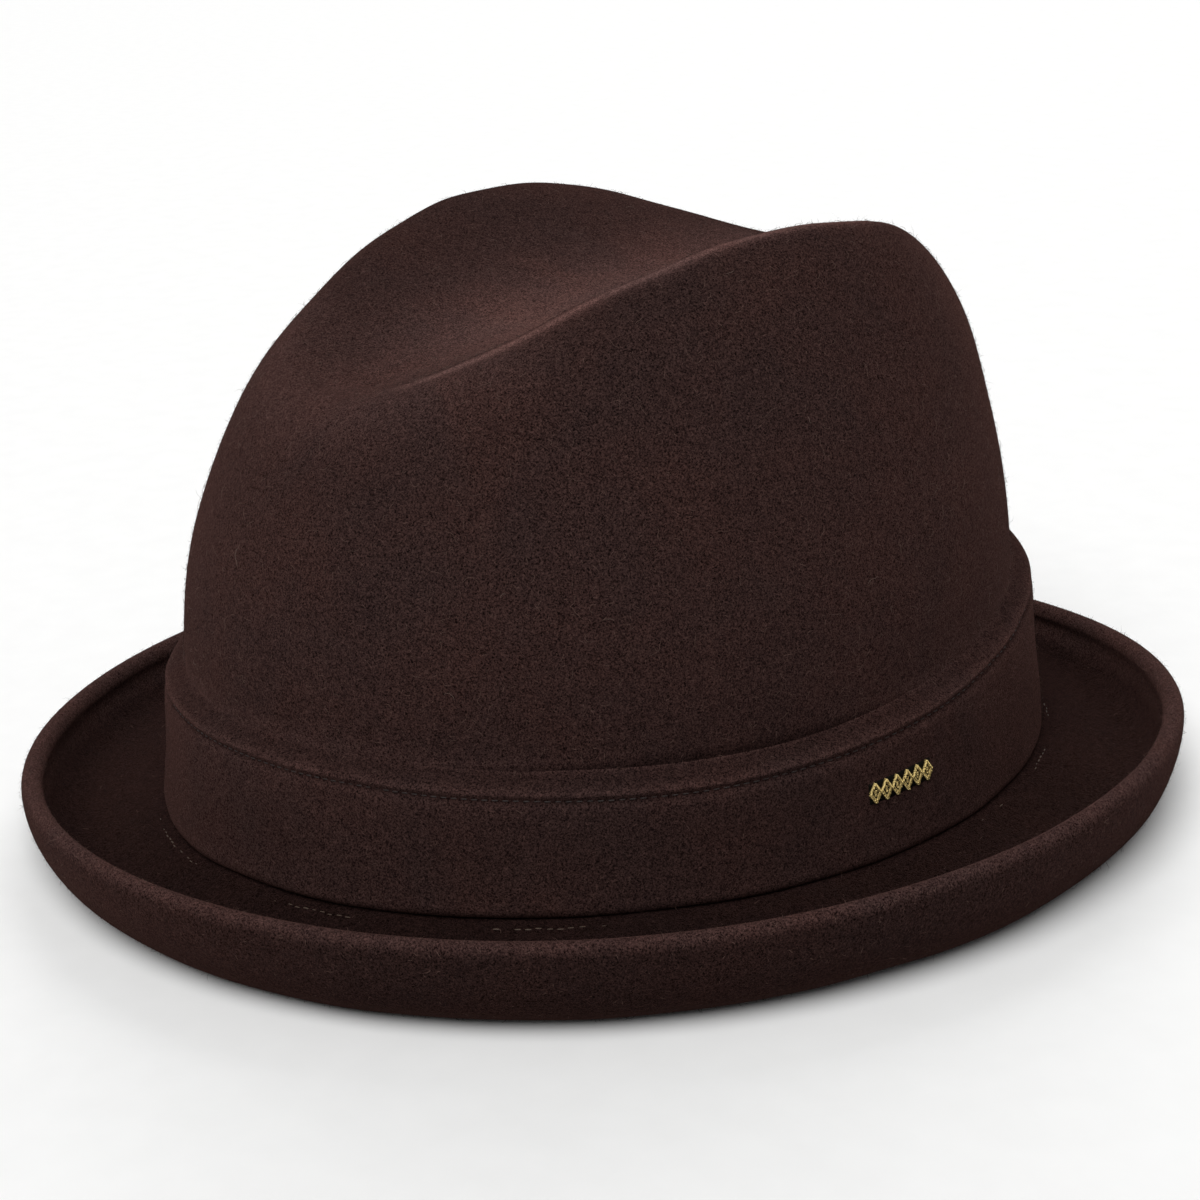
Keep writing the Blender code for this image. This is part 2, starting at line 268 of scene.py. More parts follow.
def roll_row(angle, share):
    """From the trough (0) up the rolled edge to the rim (1)."""
    turn = math.pi / 2 * share
    rim = wave(angle, *RIM_HEIGHT) - (FELT + RIM_SWELL) / 2
    offset = brim_width(angle) * (BRIM_TROUGH + (1 - BRIM_TROUGH) * math.sin(turn))
    return on_oval(angle, offset, FELT + (rim - FELT) * (1 - math.cos(turn)))


# --- Mesh helpers -------------------------------------------------------------------------------
def shares(count, first=0):
    return [i / count for i in range(first, count + 1)]


def oval_angles(count):
    return np.arange(count) * (2 * math.pi / count)


def soft_waves(place, height, length, seed):
    """Gentle unevenness: a sum of plane waves about this long."""
    draw = np.random.default_rng(seed)
    total = np.zeros(place.shape[:-1])
    for _ in range(14):
        direction = unit(draw.normal(size=3))
        pitch = length * draw.uniform(0.6, 1.7)
        total += np.sin(place @ direction * (2 * math.pi / pitch) + draw.uniform(0, 6.28))
    return height * total / math.sqrt(7)


def row_normals(rows):
    """The outward normal at each point of a grid whose rows run all the way round."""
    round_step = np.roll(rows, -1, axis=1) - np.roll(rows, 1, axis=1)
    down_step = np.gradient(rows, axis=0)
    return unit(np.cross(down_step, round_step))


def close_round(rows):
    return np.concatenate([rows, rows[:, :1]], axis=1)


def grid_uv(rows):
    """Metres along and across a grid, so that a pattern has one scale all over it."""
    along = np.linalg.norm(np.diff(rows, axis=1), axis=2).mean(axis=0)
    down = np.linalg.norm(np.diff(rows, axis=0), axis=2).mean(axis=1)
    u = np.concatenate([[0], np.cumsum(along)])
    v = np.concatenate([[0], np.cumsum(down)])
    return np.stack(np.broadcast_arrays(u[None, :], v[:, None]), axis=-1)


def mesh_of(name, vertices, faces, uv):
    """A mesh from vertex places, faces and one texture place for each vertex."""
    mesh = bpy.data.meshes.new(name)
    mesh.from_pydata(np.asarray(vertices).tolist(), [], np.asarray(faces).tolist())
    layer = mesh.uv_layers.new(name="UVMap")
    corner = np.empty(len(mesh.loops), dtype=np.int64)
    mesh.loops.foreach_get("vertex_index", corner)
    layer.data.foreach_set("uv", np.asarray(uv)[corner].astype(np.float32).ravel())
    return mesh


def grid_object(name, rows, material, tone=None):
    """A smooth mesh through rows of points, with doubled points welded and an optional tone of painted light
    and shade.
    """
    rows = np.asarray(rows)
    row_count, column_count = rows.shape[:2]
    row, column = np.meshgrid(np.arange(row_count - 1), np.arange(column_count - 1), indexing="ij")
    here = row * column_count + column
    quads = np.stack([here, here + column_count, here + column_count + 1, here + 1], axis=-1)
    mesh = mesh_of(name, rows.reshape(-1, 3), quads.reshape(-1, 4), grid_uv(rows).reshape(-1, 2))
    if tone is not None:
        layer = mesh.attributes.new("tone", "FLOAT", "POINT")
        layer.data.foreach_set("value", np.asarray(tone, dtype=np.float32).ravel())
    surface = bmesh.new()
    surface.from_mesh(mesh)
    bmesh.ops.remove_doubles(surface, verts=surface.verts, dist=1e-6)
    bmesh.ops.recalc_face_normals(surface, faces=surface.faces)
    surface.to_mesh(mesh)
    surface.free()
    mesh.shade_smooth()
    return add_piece(name, mesh, material)


def tubes(name, paths, radius, material, sides=7):
    """Short round threads with tapered ends through paths of points, all in one mesh."""
    paths = np.asarray(paths)
    count, length = paths.shape[:2]
    along = unit(np.gradient(paths, axis=1))
    helper = np.where(np.abs(along[..., 2:]) < 0.8, np.array((0, 0, 1.0)), np.array((1.0, 0, 0)))
    side = unit(np.cross(along, helper))
    top = np.cross(side, along)
    place = np.linspace(-1, 1, length)
    taper = np.sqrt(np.maximum(1 - np.abs(place) ** 5, 0.02)) * radius
    turn = 2 * math.pi * np.arange(sides + 1) / sides
    ring = side[:, :, None] * np.cos(turn)[:, None] + top[:, :, None] * np.sin(turn)[:, None]
    vertices = paths[:, :, None] + ring * taper[:, None, None]
    run = np.linalg.norm(np.diff(paths, axis=1), axis=2).cumsum(axis=1)
    run = np.concatenate([np.zeros((count, 1)), run], axis=1)
    uv = np.stack(np.broadcast_arrays(run[..., None], turn * radius), axis=-1)
    steps = (np.arange(count), np.arange(length - 1), np.arange(sides))
    tube, step, edge = np.meshgrid(*steps, indexing="ij")
    here = (tube * length + step) * (sides + 1) + edge
    quads = np.stack([here, here + 1, here + sides + 2, here + sides + 1], axis=-1)
    mesh = mesh_of(name, vertices.reshape(-1, 3), quads.reshape(-1, 4), uv.reshape(-1, 2))
    mesh.shade_smooth()
    return add_piece(name, mesh, material)


def arcs(starts, ends, lift, steps=7):
    """Paths from starts to ends that rise by lift in the middle."""
    share = np.linspace(0, 1, steps)[None, :, None]
    line = starts[:, None] * (1 - share) + ends[:, None] * share
    return line + np.asarray(lift)[:, None] * (1 - (2 * share - 1) ** 4)


def add_piece(name, mesh, material):
    obj = bpy.data.objects.new(name, mesh)
    bpy.context.scene.collection.objects.link(obj)
    if material:
        mesh.materials.append(material)
    return obj


# --- Materials ----------------------------------------------------------------------------------
class Recipe:
    """A material's node tree, with short calls to add and join nodes."""

    def __init__(self, name):
        self.material = bpy.data.materials.new(name)
        self.material.use_nodes = True
        self.tree = self.material.node_tree
        self.shader = self.tree.nodes["Principled BSDF"]

    def add(self, kind, links=None, **values):
        node = self.tree.nodes.new("ShaderNode" + kind)
        for key, value in values.items():
            setattr(node, key, value)
        for socket, source in (links or {}).items():
            if isinstance(source, bpy.types.NodeSocket):
                self.tree.links.new(source, node.inputs[socket])
            else:
                node.inputs[socket].default_value = source
        return node

    def join(self, source, socket):
        self.tree.links.new(source, self.shader.inputs[socket])

    def set(self, socket, value):
        self.shader.inputs[socket].default_value = value

    def place(self):
        return self.add("TexCoord").outputs["Object"]

    def noise(self, where, scale, detail=3.0, roughness=0.55, distortion=0.0):
        links = {"Vector": where, "Scale": scale, "Detail": detail}
        links.update({"Roughness": roughness, "Distortion": distortion})
        return self.add("TexNoise", links).outputs["Fac"]

    def ramp(self, source, low, high, colour_low, colour_high):
        node = self.add("ValToRGB", {"Fac": source})
        stops = zip(node.color_ramp.elements, (low, high), (colour_low, colour_high))
        for stop, position, colour in stops:
            stop.position = position
            stop.color = (*colour, 1)
        return node.outputs["Color"]

    def mix(self, factor, a, b, blend="MIX"):
        node = self.add("Mix", data_type="RGBA", blend_type=blend)
        for index, value in ((0, factor), (6, a), (7, b)):
            if isinstance(value, bpy.types.NodeSocket):
                self.tree.links.new(value, node.inputs[index])
            else:
                node.inputs[index].default_value = value
        return node.outputs[2]

    def bump(self, height, distance, strength=1.0, normal=None):
        links = {"Height": height, "Distance": distance, "Strength": strength}
        if normal:
            links["Normal"] = normal
        return self.add("Bump", links).outputs["Normal"]


def fibre_lines(recipe, where, scale, width):
    """Thin curling lines, like single fibres seen in the nap."""
    field = recipe.noise(where, scale, 2.0, 0.6, 1.2)
    centred = recipe.add("Math", {0: field, 1: 0.5}, operation="SUBTRACT").outputs[0]
    away = recipe.add("Math", {0: centred}, operation="ABSOLUTE").outputs[0]
    links = {"Value": away, "From Min": 0.0, "From Max": width, "To Min": 1.0, "To Max": 0.0}
    return recipe.add("MapRange", links, interpolation_type="SMOOTHSTEP").outputs["Result"]


def felt_material(name, base, light):
    """Brushed wool felt: tangled fibres of two tones, soft patches and a fuzzy sheen.

    Each point's tone multiplies painted light and shade into the colour: painted shade in creases and hollows,
    painted highlights on edges.
    """
    recipe = Recipe(name)
    where = recipe.place()
    grain = recipe.noise(where, 2700.0, 2.0, 0.7, 0.6)
    tufts = recipe.noise(where, 800.0, 3.0, 0.65, 1.0)
    patches = recipe.noise(where, 42.0, 3.0, 0.55, 0.5)
    long_fibres = fibre_lines(recipe, where, 430.0, 0.014)
    short_fibres = fibre_lines(recipe, where, 1100.0, 0.030)
    colour = recipe.ramp(grain, 0.39, 0.61, base, light)
    shade = recipe.ramp(tufts, 0.36, 0.66, (0.78, 0.77, 0.79), (1.23, 1.22, 1.20))
    patchy = recipe.ramp(patches, 0.34, 0.66, (0.90, 0.95, 0.98), (1.10, 1.03, 1.01))
    colour = recipe.mix(1.0, colour, shade, "MULTIPLY")
    colour = recipe.mix(1.0, colour, patchy, "MULTIPLY")
    pale = tuple(2.4 * c for c in light) + (1,)
    both = recipe.add("Math", {0: long_fibres, 1: short_fibres}, operation="ADD").outputs[0]
    amount = recipe.add("Math", {0: both, 1: 0.32}, operation="MULTIPLY", use_clamp=True).outputs[0]
    colour = recipe.mix(amount, colour, pale)
    # The tone attribute holds painted light and shade, multiplied into the colour below
    tone = recipe.add("Attribute", attribute_name="tone").outputs["Fac"]
    grey = recipe.add("CombineColor", {"Red": tone, "Green": tone, "Blue": tone}).outputs["Color"]
    recipe.join(recipe.mix(1.0, colour, grey, "MULTIPLY"), "Base Color")
    recipe.set("Sheen Weight", SHEEN)
    recipe.set("Roughness", 0.95)
    recipe.set("Specular IOR Level", 0.0)
    recipe.set("Sheen Roughness", 0.32)
    recipe.set("Sheen Tint", (0.62, 0.31, 0.26, 1))
    coarse = recipe.bump(tufts, 0.0004, 0.5)
    fine = recipe.bump(grain, 0.00022, 0.8, coarse)
    recipe.join(recipe.bump(both, 0.0001, 0.6, fine), "Normal")
    return recipe.material


def nap_material(name, colour):
    """Single wool fibres that stand up from the felt."""
    recipe = Recipe(name)
    recipe.set("Base Color", (*colour, 1))
    recipe.set("Roughness", 0.75)
    recipe.set("Specular IOR Level", 0.08)
    return recipe.material


def thread_material(name, dark, light, gloss=0.4):
    """Twisted sewing thread: diagonal ply lines that wind round it, and a soft gloss."""
    recipe = Recipe(name)
    flat = recipe.add("TexCoord").outputs["UV"]
    slant = {"Vector": flat, "Rotation": (0, 0, math.radians(38))}
    turned = recipe.add("Mapping", slant).outputs["Vector"]
    links = {"Vector": turned, "Scale": 900.0, "Distortion": 1.2, "Detail": 2.0, "Detail Scale": 2.0}
    ply = recipe.add("TexWave", links).outputs["Fac"]
    fuzz = recipe.noise(recipe.place(), 4200.0, 2.0, 0.6)
    blend = recipe.add("Math", {0: ply, 1: fuzz}, operation="ADD").outputs[0]
    half = recipe.add("Math", {0: blend, 1: 0.5}, operation="MULTIPLY").outputs[0]
    recipe.join(recipe.ramp(half, 0.28, 0.68, dark, light), "Base Color")
    recipe.set("Roughness", 0.5)
    recipe.set("Specular IOR Level", gloss)
    recipe.join(recipe.bump(ply, 0.00008, 0.7), "Normal")
    return recipe.material


def ribbon_material(name, base, light):
    """Grosgrain: fine ribs that stand upright round the head, with a lengthwise weave between."""
    recipe = Recipe(name)
    flat = recipe.add("TexCoord").outputs["UV"]
    links = {"Vector": flat, "Scale": 500.0, "Distortion": 0.3, "Detail": 1.0}
    ribs = recipe.add("TexWave", links, bands_direction="X").outputs["Fac"]
    links = {"Vector": flat, "Scale": 900.0, "Distortion": 0.4, "Detail": 1.0}
    weft = recipe.add("TexWave", links, bands_direction="Y").outputs["Fac"]
    patches = recipe.noise(recipe.place(), 70.0, 3.0, 0.55)
    weave = recipe.add("Math", {0: ribs, 1: weft}, operation="MULTIPLY").outputs[0]
    tone = recipe.ramp(weave, 0.05, 0.75, base, light)
    shade = recipe.ramp(patches, 0.3, 0.7, (0.82, 0.82, 0.82), (1.15, 1.15, 1.15))
    recipe.join(recipe.mix(1.0, tone, shade, "MULTIPLY"), "Base Color")
    recipe.set("Roughness", 0.7)
    recipe.set("Sheen Weight", 0.25)
    recipe.set("Sheen Roughness", 0.4)
    coarse = recipe.bump(ribs, 0.00018, 0.7)
    recipe.join(recipe.bump(weft, 0.00006, 0.6, coarse), "Normal")
    return recipe.material


def reed_material():
    """Clear-milky extruded plastic cord with faint draw lines."""
    recipe = Recipe("reed_plastic")
    streaks = recipe.noise(recipe.place(), 300.0, 2.0, 0.5)
    recipe.join(recipe.ramp(streaks, 0.3, 0.7, (0.52, 0.52, 0.50), (0.66, 0.66, 0.64)), "Base Color")
    recipe.set("Roughness", 0.35)
    return recipe.material


# --- Felt crown and brim ------------------------------------------------------------------------
def felt_unevenness(place):
    """How far hand blocking leaves the felt off its true outline, less where the band holds it."""
    free = np.clip((np.abs(place[..., 2] - 0.030) - 0.012) / 0.03, 0.12, 1)
    return soft_waves(place, 0.00022, 0.035, 3) * free


def shell_rows(angles):
    """Rows of the hat's outer face, from the dent's floor to the rim's end, and their normals."""
    rows = [dent_row(angles, s) for s in shares(DENT_ROWS)]
    rows += [wall_row(angles, s) for s in shares(WALL_ROWS, 1)]
    rows += [bend_row(angles, s) for s in shares(BEND_ROWS)]
    rows += [slope_row(angles, s) for s in shares(SLOPE_ROWS, 1)]
    rows += [roll_row(angles, s) for s in shares(ROLL_ROWS, 1)]
    rows = np.array(rows)
    normals = row_normals(rows)
    paired = normals[1][(len(angles) // 2 - np.arange(len(angles))) % len(angles)]
    normals[0] = unit(normals[1] + paired)
    return rows, normals


def edge_glow(distance, reach):
    """How strongly an edge marks the felt at this distance from it, from 1 to 0."""
    return np.exp(-((distance / reach) ** 2))


def step_between(value, low, high):
    share = np.clip((value - low) / (high - low), 0, 1)
    return share * share * (3 - 2 * share)


def felt_painted_light(rows):
    """Painted light and shade over the felt: painted highlights on the ridge, dent, front and rim, painted
    shade in the brim's trough and on its outer face.
    """
    down = np.linalg.norm(np.diff(rows, axis=0), axis=2).cumsum(axis=0)
    down = np.concatenate([np.zeros((1, rows.shape[1])), down])
    behind = step_between(rows[..., 1], -0.062, -0.012)
    sideways = step_between(rows[..., 0], 0.008, 0.034)
    past_ridge = down - down[RIDGE_ROW]
    above_band = rows[..., 2] - wave(close_round(oval_angles(AROUND)[None]), *BAND_TOP_HEIGHT)
    # Painted highlight along the ridge on the wearer's left
    tone = 1 + RIDGE_PAINTED_HIGHLIGHT * edge_glow(past_ridge + 0.0015, 0.0027) * sideways
    # Painted light on the dent's floor, stronger towards the back
    in_dent = edge_glow(down, 0.024) * step_between(-past_ridge, 0.0, 0.006)
    tone = tone + DENT_PAINTED_LIGHT * in_dent * (0.3 + 0.7 * behind)
    # Painted light where the dent runs out over the front
    in_front = step_between(-rows[..., 1], 0.035, 0.055)
    tone = tone + FRONT_PAINTED_LIGHT * edge_glow(past_ridge - 0.006, 0.010) * in_front
    # Painted highlight on the crown just above the band's top edge
    tone = tone + 0.40 * edge_glow(above_band - BAND_FEATHER, 0.0016)
    from_break = down - down[BREAK_ROW]
    before_rim = down[RIM_ROW] - down
    # Painted shade in the crease at the band's foot, then over the brim's bowl
    tone = tone + (TROUGH_PAINTED_SHADE - tone) * step_between(from_break, -0.001, 0.0005)
    tone = tone + (BRIM_PAINTED_SHADE - tone) * step_between(from_break, 0.009, 0.0135)
    # Painted highlight on the rim's lip
    tone = tone + (RIM_PAINTED_HIGHLIGHT - tone) * step_between(-before_rim, -0.0080, -0.0015)
    # Painted shade on the brim's outer face, darker towards its bottom edge
    tone = tone + (UNDER_PAINTED_SHADE - tone) * step_between(-before_rim, 0.0052, 0.0085)
    return tone - 0.20 * step_between(-before_rim, 0.012, 0.022)


def felt_section():
    """Rows round crown and brim: outer face, rounded rim, then back along the inner face."""
    angles = oval_angles(AROUND)
    rows, normals = shell_rows(angles)
    rows = rows + normals * felt_unevenness(rows)[..., None]
    swell = np.zeros(len(rows))
    swell[-ROLL_ROWS:] = np.linspace(0, 1, ROLL_ROWS) ** 2.5 * RIM_SWELL
    outer = rows + normals * swell[:, None, None]
    inner = rows - normals * FELT
    middle = (outer[-1] + inner[-1]) / 2
    half = (outer[-1] - inner[-1]) / 2
    end = unit(rows[-1] - rows[-2]) * np.linalg.norm(half, axis=1, keepdims=True) * RIM_ROUND
    rim = []
    for turn in np.linspace(0, math.pi, EDGE_ROWS + 2)[1:-1]:
        rim.append(middle + half * math.cos(turn) + end * math.sin(turn))
    everything = np.concatenate([outer, np.array(rim), inner[::-1]])
    everything[..., 2] = np.maximum(everything[..., 2], 0.0)
    return everything


# --- Hat band -----------------------------------------------------------------------------------
def band_foot(angle):
    return wave(angle, *BREAK_HEIGHT) - BAND_SAG


def band_offset(angle, height):
    """How far the band's face lies outside the crown wall: flare, round edges and sunk groove."""
    foot = band_foot(angle)
    top = wave(angle, *BAND_TOP_HEIGHT)
    share = np.clip((height - foot) / (top - foot), 0, 1)
    offset = GAP + BAND_FELT + BAND_FLARE * (1 - share) ** 1.3
    offset = offset - GROOVE_DEPTH * edge_glow(top - GROOVE_DROP - height, GROOVE_REACH)
    over = step_between(height, top - BAND_SHOULDER, top + BAND_FEATHER)
    under = np.clip(1 - (height - foot) / BAND_FOOT_ROUND, 0, 1)
    offset = offset - BAND_TOP_TURN * over
    return offset - BAND_FOOT_TURN * (1 - np.sqrt(1 - under**2))


def on_band(angle, height, lift=0.0):
    """A point this far above the band's outer face."""
    place = on_oval(angle, band_offset(angle, height), height)
    uneven = soft_waves(place, 0.00014, 0.030, 5)
    return on_oval(angle, band_offset(angle, height) + uneven + lift, height)


def strip_angles(count):
    """Angles from the join round to the join again, close together near the join."""
    turn = np.linspace(0, 1, count + 1)
    near = np.array((0.0008, 0.0016, 0.0028))
    turn = np.sort(np.concatenate([turn, near, 1 - near]))
    return JOIN_ANGLE + 2 * math.pi * turn


def join_dip(angle):
    """The shallow furrow where the two ends of a strip meet."""
    away = np.abs((angle - JOIN_ANGLE + math.pi) % (2 * math.pi) - math.pi) * WALL_HALF_WIDTH
    return edge_glow(away, 0.0007)


def band_section():
    """Rows of the band from under its top edge, down its face and under its lower edge."""
    angles = strip_angles(AROUND)
    foot = band_foot(angles)
    top = wave(angles, *BAND_TOP_HEIGHT)
    low = foot + BAND_FOOT_ROUND
    high = top - BAND_SHOULDER
    rise = BAND_SHOULDER + BAND_FEATHER
    turns = np.linspace(0, math.pi / 2, 6)[1:]
    heights = [high + rise * share for share in np.linspace(1, 0, 14)]
    heights += [low + (high - low) * share for share in np.linspace(1, 0, 46)[1:]]
    heights += [foot + BAND_FOOT_ROUND * (1 - math.sin(turn)) for turn in turns]
    rows = [on_oval(angles, -0.0014 + 0 * angles, top + BAND_FEATHER - 0.0012)]
    rows += [on_band(angles, height, -0.0006 * join_dip(angles)) for height in heights]
    rows.append(on_oval(angles, 0.0008 + 0 * angles, foot + BAND_SAG))
    rows.append(rows[0])
    return np.array(rows)


def band_painted_light(rows):
    """Painted light and shade on the band: painted highlights on its top edge and above its foot, painted
    shade at the top edge's crease, in the groove and at the foot.
    """
    below_top = wave(strip_angles(AROUND), *BAND_TOP_HEIGHT) - rows[..., 2]
    # The first row and the last two are tucked out of sight, so the way down runs over the rest
    down = np.linalg.norm(np.diff(rows[1:-2], axis=0), axis=2).cumsum(axis=0)
    tucked = down[-1:] + 0.001
    down = np.concatenate([np.zeros((2, rows.shape[1])), down, tucked, tucked])
    foot = down[-3] - down
    # Painted shade at the top edge's crease and in the groove, painted highlights on the rounded top edge,
    # where it thins into the crown and just above the foot, painted shade at the foot
    tone = 1 - 0.28 * edge_glow(below_top + 0.0002, 0.0015)
    tone = tone + 0.40 * edge_glow(below_top - 0.0022, 0.0008)
    tone = tone - 0.35 * edge_glow(below_top - GROOVE_DROP, 0.0006)
    tone = tone + 0.10 * edge_glow(foot - 0.0030, 0.0013)
    tone = tone + 0.60 * edge_glow(below_top + BAND_FEATHER, 0.0008)
    return tone - 0.35 * edge_glow(foot, 0.0013)


def band_edge_stitches(material):
    """Sunk running stitches in the groove below the band's top edge."""
    count = round(2 * math.pi * BAND_RADIUS / STITCH_PITCH)
    angles = oval_angles(count)
    half = STITCH_LENGTH / 2 / BAND_RADIUS
    height = wave(angles, *BAND_TOP_HEIGHT) - GROOVE_DROP
    depth = 0.00005 + 0.00005 * RNG.normal(size=count)
    starts = on_band(angles - half, height, -0.0003)
    ends = on_band(angles + half, height, -0.0003)
    lift = outward(angles) * (0.0003 + depth)[:, None]
    return tubes("band_edge_stitches", arcs(starts, ends, lift), THREAD_RADIUS, material)


def band_join_stitches(material):
    """Cross stitches that draw the band's ends together at the back."""
    foot = band_foot(JOIN_ANGLE)
    top = wave(JOIN_ANGLE, *BAND_TOP_HEIGHT)
    heights = np.linspace(foot + 0.0028, top - 0.0062, 9)
    reach = 0.0011 / WALL_HALF_WIDTH
    low = on_band(JOIN_ANGLE - reach + 0 * heights, heights, -0.0003)
    high = on_band(JOIN_ANGLE + reach + 0 * heights, heights + 0.0011, -0.0003)
    lift = np.tile(outward(np.array(JOIN_ANGLE)), (len(heights), 1)) * 0.0004
    return tubes("band_join_stitches", arcs(low, high, lift), THREAD_RADIUS, material)


def brim_stitches(material):
    """The tan thread of the sweatband's seam where it shows on the brim, just outside the band."""
    count = round(2 * math.pi * SEAM_RADIUS / STITCH_PITCH)
    angles = oval_angles(count) + RNG.normal(size=count) * 0.0006
    half = STITCH_LENGTH / 2 / SEAM_RADIUS
    offset = GAP + BAND_FELT + BAND_FLARE + SEAM_STITCH_OUT + 0.00014 * RNG.normal(size=count)

    def on_brim(angle, lift):
        place = on_oval(angle, offset, brim_height(angle, offset))
        return place + np.array((0, 0, 1.0)) * (felt_unevenness(place) + lift)[:, None]

    sunk = soft_waves(on_oval(angles, offset, 0.01), 0.00016, 0.04, 9)
    sunk = sunk + 0.00005 * RNG.normal(size=count)
    starts = on_brim(angles - half, -0.00025)
    ends = on_brim(angles + half, -0.00025)
    hidden = 0.00018 * np.clip(np.cos(angles), 0, 1)
    lift = points(0, 0, 0.00012 + sunk - hidden)
    return tubes("brim_seam_stitches", arcs(starts, ends, lift), THREAD_RADIUS, material)


# --- Emblem -------------------------------------------------------------------------------------
def on_emblem(x, z, lift):
    """A point on the emblem, x along the band and z up from its middle."""
    angle = EMBLEM_ANGLE + x / WALL_HALF_LENGTH
    middle = (wave(angle, *BREAK_HEIGHT) + wave(angle, *BAND_TOP_HEIGHT)) / 2
    return on_band(angle, middle + z, lift)


def emblem_ground(material):
    """The small oblong of dark thread that the emblem is worked on."""
    x = np.linspace(-1, 1, 61)
    z = np.linspace(-1, 1, 21)
    edge = np.maximum(np.abs(x[None, :]) ** 14, np.abs(z[:, None]) ** 7)
    lift = 0.00028 - 0.0005 * np.clip(edge, 0, 1)
    across = x[None, :] * EMBLEM_WIDTH / 2 + 0 * z[:, None]
    up = z[:, None] * EMBLEM_HEIGHT / 2 + 0 * x[None, :]
    return grid_object("emblem_ground", on_emblem(across, up, lift), material)


def satin_bar(start, end, width, pitch):
    """Starts and ends of the close threads that cross a bar from start to end."""
    start = np.array(start)
    end = np.array(end)
    along = (end - start) / np.linalg.norm(end - start)
    across = np.array((-along[1], along[0])) * width / 2
    slant = along * width * 0.25
    count = max(2, round(np.linalg.norm(end - start) / pitch))
    centres = start + (end - start) * np.linspace(0, 1, count)[:, None]
    return centres - across - slant, centres + across + slant


def emblem_threads(material):
    """Gold satin stitches: a row of open lozenges, each with a small bar inside."""
    bars = []
    pitch = EMBLEM_WIDTH * 0.96 / EMBLEM_LOZENGES
    half_width = pitch * 0.44
    half_height = EMBLEM_HEIGHT * 0.40
    corners = [(-1, 0), (0, 1), (1, 0), (0, -1), (-1, 0)]
    for column in range(EMBLEM_LOZENGES):
        centre = (column - (EMBLEM_LOZENGES - 1) / 2) * pitch
        for (xa, za), (xb, zb) in zip(corners, corners[1:]):
            start = (centre + xa * half_width, za * half_height)
            end = (centre + xb * half_width, zb * half_height)
            bars.append(satin_bar(start, end, LOZENGE_BAR, SATIN_PITCH))
        low_end = (centre, -half_height * 0.3)
        high_end = (centre, half_height * 0.3)
        bars.append(satin_bar(low_end, high_end, INNER_BAR, SATIN_PITCH))
    starts = np.concatenate([bar[0] for bar in bars])
    ends = np.concatenate([bar[1] for bar in bars])
    low = on_emblem(starts[:, 0], starts[:, 1], 0.0001)
    high = on_emblem(ends[:, 0], ends[:, 1], 0.0001)
    height = 0.00045 + 0.00006 * RNG.normal(size=(len(low), 1))
    lift = outward(np.full(len(low), EMBLEM_ANGLE)) * height
    return tubes("emblem_threads", arcs(low, high, lift, 6), SATIN_RADIUS, material)


# --- Sweatband ----------------------------------------------------------------------------------
def sweatband_foot(angle):
    return wave(angle, *BREAK_HEIGHT) - 0.0005


def sweatband_offset(share):
    """How far out the sweatband's cloth lies, from its lower edge (0) to its top (1)."""
    top = -FELT - GAP - SWEATBAND_CLOTH / 2
    return top - SWEATBAND_LEAN * (1 - share)


def on_sweatband(angle, lift, up):
    """A point on the sweatband's inner face, lifted towards the head."""
    share = up / SWEATBAND_HEIGHT
    offset = sweatband_offset(share) - SWEATBAND_CLOTH / 2 - lift
    return on_oval(angle, offset + 0 * angle, sweatband_foot(angle) + up)


def sweatband_section():
    """Rows of the sweatband's cloth: over its folded top, down its face and round the reed."""
    angles = strip_angles(AROUND)
    foot = sweatband_foot(angles)
    loop = REED_RADIUS + GAP + SWEATBAND_CLOTH / 2
    path = []
    for share in np.linspace(0.80, 0.985, 4):
        path.append((sweatband_offset(share) + SWEATBAND_CLOTH / 2, SWEATBAND_HEIGHT * share))
    for turn in np.linspace(0.5, math.pi - 0.3, 4):
        swing = SWEATBAND_CLOTH / 2 * math.cos(turn)
        rise = SWEATBAND_CLOTH / 2 * (math.sin(turn) - 1)
        path.append((sweatband_offset(1) + swing, SWEATBAND_HEIGHT + rise))
    for share in np.linspace(0.985, 0, 22):
        dent = 0.0003 * edge_glow(SWEATBAND_HEIGHT * share - SEAM_STITCH_UP, 0.0006)
        dent += 0.00018 * edge_glow(SWEATBAND_HEIGHT * (1 - share) - TOP_STITCH_DROP, 0.0005)
        path.append((sweatband_offset(share) - SWEATBAND_CLOTH / 2 + dent, SWEATBAND_HEIGHT * share))
    outer = loop + SWEATBAND_CLOTH / 2
    for turn in np.linspace(0, math.pi, 12)[1:]:
        path.append((sweatband_offset(0) + loop - outer * math.cos(turn), -outer * math.sin(turn)))
    path.append((sweatband_offset(0) + loop + outer, HEM_RETURN))
    rows = [on_oval(angles, out + 0 * angles, foot + up) for out, up in path]
    dip = outward(angles) * (0.0004 * join_dip(angles))[:, None]
    return np.array([row + dip for row in rows])


def sweatband_stitches(name, up, material):
    """A row of stitches round the sweatband's inner face at this height above its lower edge."""
    count = round(2 * math.pi * SWEATBAND_RADIUS / STITCH_PITCH)
    angles = oval_angles(count)
    half = STITCH_LENGTH / 2 / SWEATBAND_RADIUS
    starts = on_sweatband(angles - half, -0.0003, up)
    ends = on_sweatband(angles + half, -0.0003, up)
    lift = -outward(angles) * 0.00028
    return tubes(name, arcs(starts, ends, lift), THREAD_RADIUS, material)


